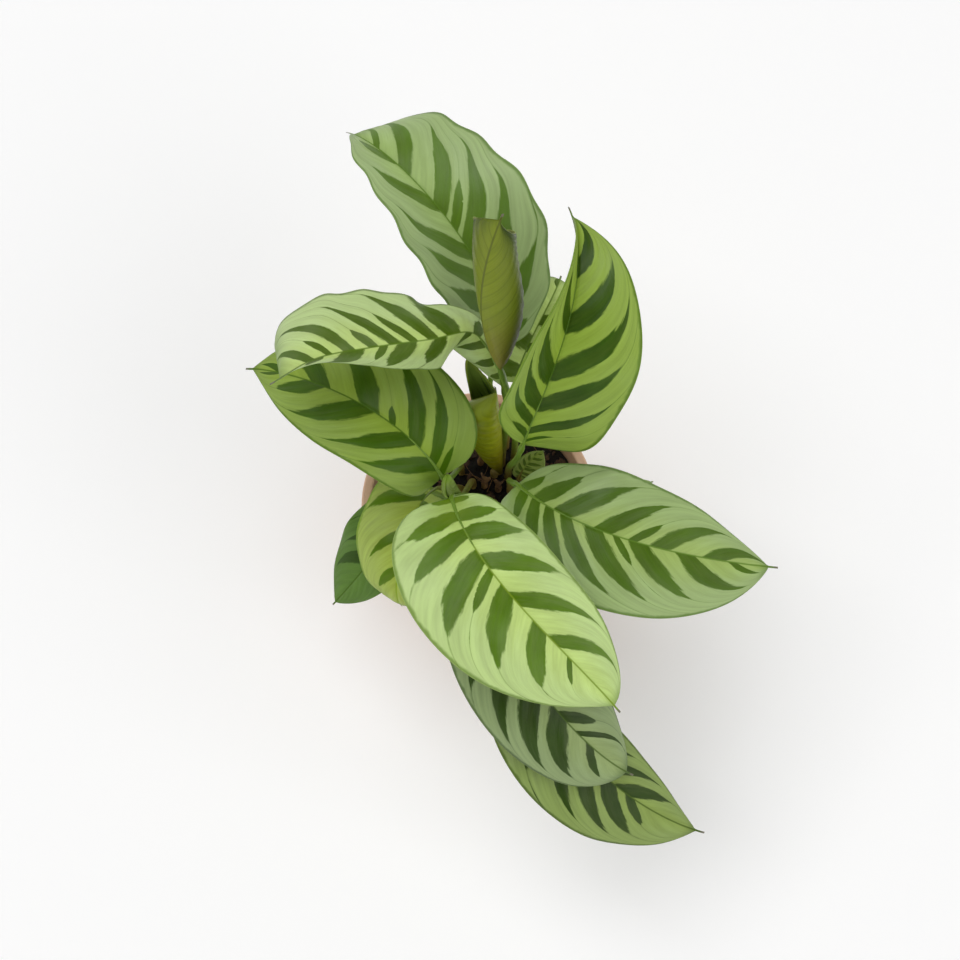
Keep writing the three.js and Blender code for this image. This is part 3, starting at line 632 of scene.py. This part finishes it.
def make_leaf(name, leaf, rows=104, columns=20):
    """A blade and its petiole in one mesh, with slots for upper face, underside and stem."""
    points, faces, u, v, distance = blade_mesh(leaf, rows, columns)
    stem_points, stem_faces = tube(*stem_path(leaf), sides=14)
    blade_faces = np.concatenate(faces)
    joined = blade_faces.tolist() + [[k + len(points) for k in f] for f in stem_faces]
    piece = new_object(name + "_fine", np.concatenate([points, stem_points]) * MM, joined)
    upper, lower, rim = map(len, faces)
    slots = np.repeat(np.int32([0, 1, 0, 2]), [upper, lower, rim, len(stem_faces)])
    piece.data.polygons.foreach_set("material_index", slots)
    paint_leaf(piece, leaf, u, v, distance, len(blade_faces))
    return piece


# ---- materials ----


class Field:
    """A value that varies over a surface. Arithmetic on it adds nodes to its tree."""

    def __init__(self, socket):
        self.tree = socket.id_data
        self.socket = socket

    def math(self, operation, *others, clamp=False):
        return add_node(self.tree, "Math", dict(enumerate((self, *others))),
                        operation=operation, use_clamp=clamp)

    def __add__(self, other):
        return self.math("ADD", other)

    def __sub__(self, other):
        return self.math("SUBTRACT", other)

    def __rsub__(self, other):
        return (self * -1.0).math("ADD", other)

    def __mul__(self, other):
        return self.math("MULTIPLY", other)

    def __pow__(self, other):
        return self.math("POWER", other)

    __radd__ = __add__

    def abs(self):
        return self.math("ABSOLUTE")

    def clamp(self):
        return self.math("ADD", 0.0, clamp=True)

    def step(self, low, high):
        """0 below low and 1 above high, smooth between; the other way round if low > high."""
        low, high, start, end = (low, high, 0.0, 1.0) if low < high else (high, low, 1.0, 0.0)
        inputs = {"Value": self, "From Min": low, "From Max": high, "To Min": start, "To Max": end}
        return add_node(self.tree, "MapRange", inputs, "Result", interpolation_type="SMOOTHSTEP")


def feed(socket, value):
    """Links a field to a socket, or sets a constant on it."""
    if isinstance(value, Field):
        value.tree.links.new(value.socket, socket)
    else:
        socket.default_value = value


def add_node(tree, kind, inputs, output=0, **settings):
    """Adds a node and gives one of its outputs as a field."""
    node = tree.nodes.new("ShaderNode" + kind)
    for key, value in settings.items():
        setattr(node, key, value)
    for key, value in inputs.items():
        feed(node.inputs[key], value)
    return Field(node.outputs[output])


def colour(code):
    """Linear RGBA of a hex code, or the field itself."""
    if isinstance(code, Field):
        return code
    parts = [int(code[k:k + 2], 16) / 255 for k in (0, 2, 4)]
    return (*[c / 12.92 if c <= 0.04045 else ((c + 0.055) / 1.055) ** 2.4 for c in parts], 1)


def blend(factor, a, b):
    """A colour between a and b, which are hex codes or fields."""
    inputs = {0: factor, 6: colour(a), 7: colour(b)}
    return add_node(factor.tree, "Mix", inputs, 2, data_type="RGBA")


def shade(base, amount):
    """A colour made lighter or darker by a field round 1."""
    return add_node(base.tree, "VectorMath", {0: base, "Scale": amount}, operation="SCALE")


def parts_of(vectors):
    """The x, y and z of a field of vectors."""
    node = vectors.tree.nodes.new("ShaderNodeSeparateXYZ")
    feed(node.inputs[0], vectors)
    return [Field(output) for output in node.outputs]


def uv_pair(tree, name):
    """The two numbers that a UV map holds."""
    return parts_of(add_node(tree, "UVMap", {}, uv_map=name))[:2]


def vector(x, y):
    return add_node(x.tree, "CombineXYZ", {0: x, 1: y})


def place(tree, space="Object"):
    """The point in the object's own space, unless another is named."""
    return add_node(tree, "TexCoord", {}, space)


def noise(at, scale, detail=3.0, rough=0.5):
    """Noise from -1 to 1, mostly within half of that."""
    inputs = {"Vector": at, "Scale": scale, "Detail": detail, "Roughness": rough}
    return add_node(at.tree, "TexNoise", inputs) * 2.0 - 1.0


def new_material(name, roughness=0.5):
    """A material with its tree and its main shader."""
    material = bpy.data.materials.new(name)
    material.use_nodes = True
    shader = material.node_tree.nodes["Principled BSDF"]
    shader.inputs["Roughness"].default_value = roughness
    return material, material.node_tree, shader


def bump(shader, height, distance, strength):
    inputs = {"Strength": strength, "Distance": distance, "Height": height}
    feed(shader.inputs["Normal"], add_node(height.tree, "Bump", inputs))


def let_light_through(shader, tint, share):
    """Mixes in light that shines through a thin blade."""
    tree = tint.tree
    glow = add_node(tree, "BsdfTranslucent", {"Color": tint})
    both = add_node(tree, "MixShader", {0: share, 1: Field(shader.outputs[0]), 2: glow})
    feed(tree.nodes["Material Output"].inputs["Surface"], both)


def band_mask(s, wobble):
    """1 in the dark bands, less on the thin vein beyond each and 0 between them."""
    across, reach = uv_pair(s.tree, "band")
    off = across.abs()
    band = (lens(reach.clamp()) - off + wobble).step(-0.12, 0.16)
    vein = off.step(0.15, 0.02) * reach.step(0.8, 1.0) * s.step(0.99, 0.9) * 0.4
    return band.math("MAXIMUM", vein)


def leaf_material(name, look, underside=False):
    """Dark bands on a light ground, a darker border and midrib, and streaks along the veins."""
    material, tree, shader = new_material(name)
    u, v = uv_pair(tree, "blade")
    q, off_rib = uv_pair(tree, "vein")
    s = v.abs()
    off_rib = off_rib.abs() * RIB_UNIT
    streaks = noise(vector(q * 26.0, v * 1.6), 1.0, 4.0, 0.6)
    fine_veins = noise(vector(q * 110.0, v * 2.2), 1.0, 2.0)
    blotch = noise(place(tree), 60.0, 3.0)
    wobble = noise(vector(q * 48.0, v * 4.0), 1.0, 4.0, 0.65) * 0.5
    pale, banded = look["light"], look["dark"]
    if underside:
        pale, banded = (look["back"][0], look.get("outer", look["back"][0])), look["back"]
    light = blend((s + streaks * 0.35).step(0.0, 0.7), *pale)
    light = shade(light, 1.0 + streaks * 0.3 + fine_veins * 0.13)
    if underside:
        ribs = (q * 85.0).math("SINE").step(0.8, 1.0)
        light = shade(light, 1.0 - ribs * 0.16)
        dark = shade(blend(blotch.step(-0.4, 0.6), banded[1], banded[0]), 0.9)
    else:
        dark = blend((s + blotch * 0.5).step(0.05, 0.75), *banded)
    dark = shade(dark, 1.0 + blotch * 0.3 + streaks * 0.3 + fine_veins * 0.15)
    depth = look.get("depth", 0.6) if underside else (0.96 + streaks * 0.2).clamp()
    face = blend(band_mask(s, wobble) * depth, light, dark)
    # painted sheen: paler patches painted in where gloss would reflect, away from the midrib
    painted_sheen = noise(place(tree), 34.0, 2.0).step(0.0, 0.7) * s.step(0.1, 0.6)
    foot = (u + blotch * 0.1).step(look.get("foot_end", 0.16), 0.0) * s.step(0.9, 0.1)
    border = (s + noise(vector(u * 30.0, v), 1.0, 2.0) * 0.03).step(0.94, 0.98)
    border = border.math("MAXIMUM", u.step(0.9, 0.975))
    for share, tone in (
        (painted_sheen * (0.08 if underside else 0.14), look["painted_sheen"]),
        (foot * (0.7 if "foot" in look else 0.5), look.get("foot", look["rib"])),
        (border * 0.7, look["border"]),
        (s.step(0.985, 0.998) * 0.4, look["light"][0]),
        (off_rib.step(0.55, 0.2) * 0.8, look["rib"]),
        (u.step(0.975, 0.99) * 0.8, DRY_TIP),
    ):
        face = blend(share, face, tone)
    feed(shader.inputs["Base Color"], face)
    feed(shader.inputs["Roughness"], 0.34 + blotch * 0.08 + streaks * 0.05)
    shader.inputs["Specular IOR Level"].default_value = 0.2
    bump(shader, streaks * 0.4 + fine_veins * 0.6, 0.0003, 0.35)
    let_light_through(shader, shade(face, 1.2), look.get("glow", GLOW))
    return material


def stem_material(name, low, high):
    """A petiole: brownish at its foot and green above, with fine lines along it."""
    material, tree, shader = new_material(name, 0.45)
    at = place(tree)
    height = parts_of(at)[2]
    stretched = add_node(tree, "VectorMath", {0: at, 1: (1, 1, 0.12)}, operation="MULTIPLY")
    lines = noise(stretched, 1400.0, 3.0)
    base = blend((height + lines * 0.01).step(0.095, 0.16), low, high)
    feed(shader.inputs["Base Color"], shade(base, 1.0 + lines * 0.35))
    bump(shader, lines, 0.0004, 0.4)
    return material


def pot_material():
    """Peach plastic with a slightly uneven colour and gloss and a fine grain."""
    material, tree, shader = new_material("pot_plastic")
    at = place(tree)
    cloud = noise(at, 22.0, 4.0)
    grain = noise(at, 900.0, 2.0)
    base = blend((cloud + 0.5).clamp(), "d2a888", "dcb89a")
    feed(shader.inputs["Base Color"], shade(base, 1.0 + grain * 0.06))
    feed(shader.inputs["Roughness"], 0.46 + cloud * 0.12)
    bump(shader, grain, 0.0001, 0.4)
    return material


def soil_material():
    """Dark potting mix: nearly black peat with brown bark."""
    material, tree, shader = new_material("soil_mix", 0.95)
    at = place(tree)
    lumps = noise(at, 260.0, 5.0, 0.7)
    grit = noise(at, 1500.0, 3.0, 0.7)
    base = blend((lumps + grit * 0.6).step(-0.3, 0.7), "080503", "26170f")
    feed(shader.inputs["Base Color"], shade(base, 1.0 + grit * 0.5))
    bump(shader, lumps + grit, 0.001, 0.9)
    return material


def bark_material(name, dark, pale):
    """Dry fibrous matter, with a fine grain over paler and darker patches."""
    material, tree, shader = new_material(name, 0.8)
    at = place(tree)
    fibre = noise(at, 800.0, 4.0, 0.65)
    patch = noise(at, 120.0, 3.0)
    base = blend((fibre * 0.7 + patch).step(-0.6, 0.7), dark, pale)
    feed(shader.inputs["Base Color"], shade(base, 1.0 + fibre * 0.3))
    bump(shader, fibre, 0.0006, 0.7)
    return material


# ---- pot ----


def turned(profile, sides):
    """Points and faces of a closed turned shape; the profile starts and ends on the axis."""
    angle = np.linspace(0, 2 * np.pi, sides, endpoint=False)
    (_, first), *ring_profile, (_, last) = profile
    rings = [np.stack([r * np.cos(angle), r * np.sin(angle), np.full(sides, z)], -1)
             for r, z in ring_profile]
    points = np.concatenate(rings + [[(0, 0, first)], [(0, 0, last)]])
    return points, shell_faces(len(rings), sides)


def arc(centre, radius, start, end, steps):
    """Points on a round corner; angles in degrees from the radial direction."""
    angles = np.radians(np.linspace(start, end, steps + 1))
    return [(centre[0] + radius * math.cos(a), centre[1] + radius * math.sin(a)) for a in angles]


def wall_points(start, end, first, last, count=24):
    """Points on a straight wall, between two shares of its length."""
    return [(start[0] + (end[0] - start[0]) * t, start[1] + (end[1] - start[1]) * t)
            for t in np.linspace(first, last, count)]


def pot_profile():
    """Half outline of the pot from the middle of its underside to the middle of its floor."""
    top, under_rim, skirt = POT_HEIGHT, POT_HEIGHT - RIM_THICK, POT_RIM - RIM_THICK
    inner_foot, inner_neck = POT_FOOT - POT_WALL, POT_NECK - POT_WALL
    low = POT_FLOOR + POT_CORNER
    foot, fold, lip, outer, inner = 2.4, 0.8, 0.9, 1.4, 1.2  # radii of the rounded edges
    return [
        (0, 0), (20, 0), (36, 0),
        *arc((POT_FOOT - foot, foot), foot, -90, -12, 5),
        *wall_points((POT_FOOT, POT_CORNER), (POT_NECK, under_rim), 0.06, 0.97),
        *arc((POT_NECK + fold, under_rim - fold), fold, 180, 90, 3),
        *arc((skirt - fold, under_rim - fold), fold, 90, 0, 3),
        (skirt, 97), (skirt, 91.8),
        *arc((skirt + RIM_THICK / 2, top - RIM_DROP + lip), lip, 180, 360, 8),
        (POT_RIM, 97), (POT_RIM, 103.4),
        *arc((POT_RIM - outer, top - outer), outer, 0, 90, 5),
        (57, top),
        *arc((inner_neck + inner, top - inner), inner, 90, 180, 5),
        *wall_points((inner_foot, low), (inner_neck, top - inner), 0.96, 0.04),
        *arc((inner_foot - POT_CORNER, low), POT_CORNER, 0, -90, 5),
        (34, POT_FLOOR), (20, POT_FLOOR), (0, POT_FLOOR),
    ]


def cut_drain_holes(piece):
    """Cuts round holes through the pot's floor."""
    cutters = []
    for k in range(DRAIN_HOLES):
        angle = 2 * math.pi * k / DRAIN_HOLES
        x, y = DRAIN_RING * math.cos(angle), DRAIN_RING * math.sin(angle)
        points, faces = tube(np.array([(x, y, -3), (x, y, 5)]), [DRAIN_RADIUS] * 2, 32)
        cutters.append(new_object(f"drain_{k}", points * MM, faces))
        cut = piece.modifiers.new(f"drain_{k}", "BOOLEAN")
        cut.operation = "DIFFERENCE"
        cut.object = cutters[-1]
    shape = bpy.data.meshes.new_from_object(
        piece.evaluated_get(bpy.context.evaluated_depsgraph_get()))
    piece.modifiers.clear()
    piece.data = shape
    for cutter in cutters:
        bpy.data.objects.remove(cutter)


def make_pot():
    points, faces = turned(pot_profile(), FINE_SIDES)
    piece = new_object("pot_fine", points * MM, faces)
    cut_drain_holes(piece)
    piece.data.shade_smooth()
    return piece


# ---- soil ----


def soil_height(x, y):
    """The frame's low heap round the crown and its few shallow humps."""
    off = np.hypot(x - SOIL_CROWN[0], y - SOIL_CROWN[1]) / HEAP_SPREAD
    (ax, ay), (bx, by) = HUMP_WAVES
    humps = np.sin(x * ax + HUMP_SHIFT) * np.cos(y * ay) + np.sin(x * bx - y * by)
    return SOIL_TOP + SOIL_HEAP * np.exp(-off * off) + SOIL_HUMPS * humps


def rough_ground(x, y):
    """Uneven ground from sums of turned waves, 2 to 13 mm long."""
    total = np.zeros_like(x)
    rng = np.random.default_rng(SEED)
    for wave, size in ((0.5, 0.5), (0.9, 0.4), (1.7, 0.3), (2.9, 0.2)):
        for _ in range(4):
            turn, phase = rng.uniform(0, 2 * np.pi, 2)
            total += size * np.sin(wave * (x * np.cos(turn) + y * np.sin(turn)) + phase) / 2
    return total


def make_soil():
    """The potting mix: a body that fills the pot, with a crumbly top."""
    edge = 53.0
    bottom = POT_FLOOR + SOIL_GAP
    foot = POT_FOOT - POT_WALL - SOIL_GAP
    profile = [(0, bottom), (30, bottom), (foot - POT_CORNER, bottom), (foot, 4.2)]
    profile += [(r, SOIL_TOP) for r in (edge, *np.linspace(edge - 0.6, 0.8, 66), 0)]
    points, faces = turned(profile, FINE_SIDES)
    top = points[:, 2] > SOIL_TOP - 1
    x, y = points[top, 0], points[top, 1]
    rough = rough_ground(x, y) * np.clip((edge - np.hypot(x, y)) / 2, 0, 1)
    points[top, 2] = soil_height(x, y) + rough
    return new_object("soil_fine", points * MM, faces)


def clear_of_stems(x, y, gap):
    roots = [leaf["root"] for leaf in (*LEAVES.values(), *SHEATHS.values())]
    return all(math.hypot(x - a, y - b) > gap for a, b in roots)


def scatter(rng, count, gap, edge=SOIL_REACH):
    """Random places on the soil, clear of every stem."""
    found = []
    while len(found) < count:
        r, a = edge * math.sqrt(rng.random()), rng.uniform(0, 2 * math.pi)
        x, y = r * math.cos(a), r * math.sin(a)
        if clear_of_stems(x, y, gap):
            found.append((x, y))
    return found


def crumb(rng, x, y):
    """One bark crumb: a squashed and dented ball lying on the soil."""
    long, wide, high = rng.uniform(1.0, 3.2), rng.uniform(0.7, 1.6), rng.uniform(0.4, 1.0)
    rings, sides = 6, 9
    lat = np.linspace(-np.pi / 2, np.pi / 2, rings + 2)[1:-1]
    lon = np.linspace(0, 2 * np.pi, sides, endpoint=False)
    dents = 1 + rng.uniform(-0.28, 0.28, (rings, sides))
    ball = np.stack([np.cos(lat)[:, None] * np.cos(lon) * dents,
                     np.cos(lat)[:, None] * np.sin(lon) * dents,
                     np.sin(lat)[:, None] * np.ones(sides)], -1).reshape(-1, 3)
    ball = np.concatenate([ball, [(0, 0, -1)], [(0, 0, 1)]]) * (long, wide, high)
    turn = rng.uniform(0, np.pi)
    spin = np.array([[np.cos(turn), -np.sin(turn), 0], [np.sin(turn), np.cos(turn), 0], [0, 0, 1]])
    ground = soil_height(x, y) + rng.uniform(0, 0.5)
    points = ball @ spin.T + (x, y, ground)
    return points, shell_faces(rings, sides)


def fibre(rng, x, y):
    """One thin root fibre, bent and lying almost flat."""
    length, turn = rng.uniform(5, 15), rng.uniform(0, 2 * np.pi)
    t = np.linspace(-0.5, 0.5, 9)
    bend = rng.uniform(-0.35, 0.35)
    px = x + length * (t * np.cos(turn) - bend * (t * t) * np.sin(turn) * 2)
    py = y + length * (t * np.sin(turn) + bend * (t * t) * np.cos(turn) * 2)
    keep = np.hypot(px, py) < SOIL_REACH
    px, py = px[keep], py[keep]
    pz = soil_height(px, py) + 0.7 + 0.5 * np.sin(np.linspace(0, 3, len(px)) + turn)
    radius = np.full(len(px), rng.uniform(0.12, 0.3))
    return tube(np.stack([px, py, pz], -1), radius, 6)


def heap_of(name, parts):
    """One object out of many small closed shapes."""
    points, faces, count = [], [], 0
    for part_points, part_faces in parts:
        points.append(part_points)
        faces += [[k + count for k in f] for f in part_faces]
        count += len(part_points)
    return new_object(name, np.concatenate(points) * MM, faces)


# ---- making ----


def make_leaves():
    materials = {key: (leaf_material(f"{key}_upper", look),
                       leaf_material(f"{key}_lower", look, underside=True))
                 for key, look in LOOKS.items()}
    stem = stem_material("petiole", "8a7636", "64841e")
    young = {"leaf_rolled", "leaf_funnel", "leaf_spear", "leaf_young"}
    for name, leaf in LEAVES.items():
        slot = "young_leaf" if name in young else "leaf"
        settle(make_leaf(name, leaf), name, slot, *materials[leaf["look"]], stem)


def sheath_leaf(sheath):
    """A dried sheath described as a short narrow leaf that has curled round its length."""
    x, y = sheath["root"]
    foot = SOIL_TOP + STEM_STRAIGHT + 2
    rib = [(x + sheath["lean"][0] * t * t, y + sheath["lean"][1] * t * t,
            foot + sheath["height"] * t) for t in (0, 1 / 3, 2 / 3, 1)]
    return dict(root=sheath["root"], rib=rib, face=(sheath["opens"],) * 2, half=(3.4, 3.4),
                full=(0.35, 0.35), blunt=(0.9, 0.9), cup=(0, 0), curl=(90, 40), wave=0.5,
                waves=2, stem_steps=6, quilt=0.1, swell=0)


def make_sheaths():
    dry = bark_material("dry_sheath", "4a2f1a", "9a7448")
    for name, sheath in SHEATHS.items():
        piece = make_leaf(name, sheath_leaf(sheath), rows=40, columns=10)
        settle(piece, name, "dried_sheath", dry, dry, dry)


def make_pot_and_soil():
    settle(make_pot(), "pot", "pot", pot_material())
    settle(make_soil(), "soil", "soil", soil_material())
    rng = np.random.default_rng(SEED)
    crumbs = heap_of("soil_crumbs", [crumb(rng, x, y) for x, y in scatter(rng, 420, 4.5)])
    fibres = heap_of("soil_fibres", [fibre(rng, x, y) for x, y in scatter(rng, 70, 3.5, 46)])
    for piece, material in ((crumbs, bark_material("bark", "1a110b", "5b3d25")),
                            (fibres, bark_material("root_fibre", "4a3220", "94714a"))):
        piece.data.materials.append(material)
        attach(piece, "root")


def add_camera():
    data = bpy.data.cameras.new("camera")
    data.lens = CAMERA_LENS
    data.sensor_width = CAMERA_SENSOR
    camera = add_object("camera", data)
    camera.location = CAMERA_PLACE
    camera.rotation_euler = (math.radians(CAMERA_TILT), 0, 0)
    bpy.context.scene.camera = camera


def add_area_light(name, at, power, size):
    """A square soft light that looks at the middle of the plant."""
    data = bpy.data.lights.new(name, "AREA")
    data.energy = power
    data.size = size
    light = add_object(name, data)
    light.location = at
    light.rotation_euler = (-Vector(at) + Vector((0, 0, 0.15))).to_track_quat("-Z", "Y").to_euler()


def studio_world():
    """Soft light that is brightest near the horizon, as from screens round the table."""
    world = bpy.data.worlds.new("studio")
    world.use_nodes = True
    tree = world.node_tree
    height = parts_of(place(tree, "Generated"))[2]
    light = blend(height.step(0.1, 0.9), "ffffff", "6a6a6a")
    feed(tree.nodes["Background"].inputs["Color"], light)
    return world


def add_studio():
    reach = 4
    corners = [(-reach, -reach, 0), (reach, -reach, 0), (reach, reach, 0), (-reach, reach, 0)]
    floor = new_object("floor", corners, [(0, 1, 2, 3)])
    material, _, shader = new_material("pale_floor", 0.9)
    shader.inputs["Specular IOR Level"].default_value = 0.1
    shader.inputs["Base Color"].default_value = (0.99, 0.99, 0.99, 1)
    floor.data.materials.append(material)
    bpy.context.scene.world = studio_world()
    add_area_light("key", (-1.0, 0.6, 3.6), power=78, size=2.8)
    add_area_light("fill", (2.4, -1.6, 2.6), power=44, size=3.2)
    bpy.context.scene.view_settings.view_transform = "Standard"


add_camera()
add_studio()
make_pot_and_soil()
make_leaves()
make_sheaths()
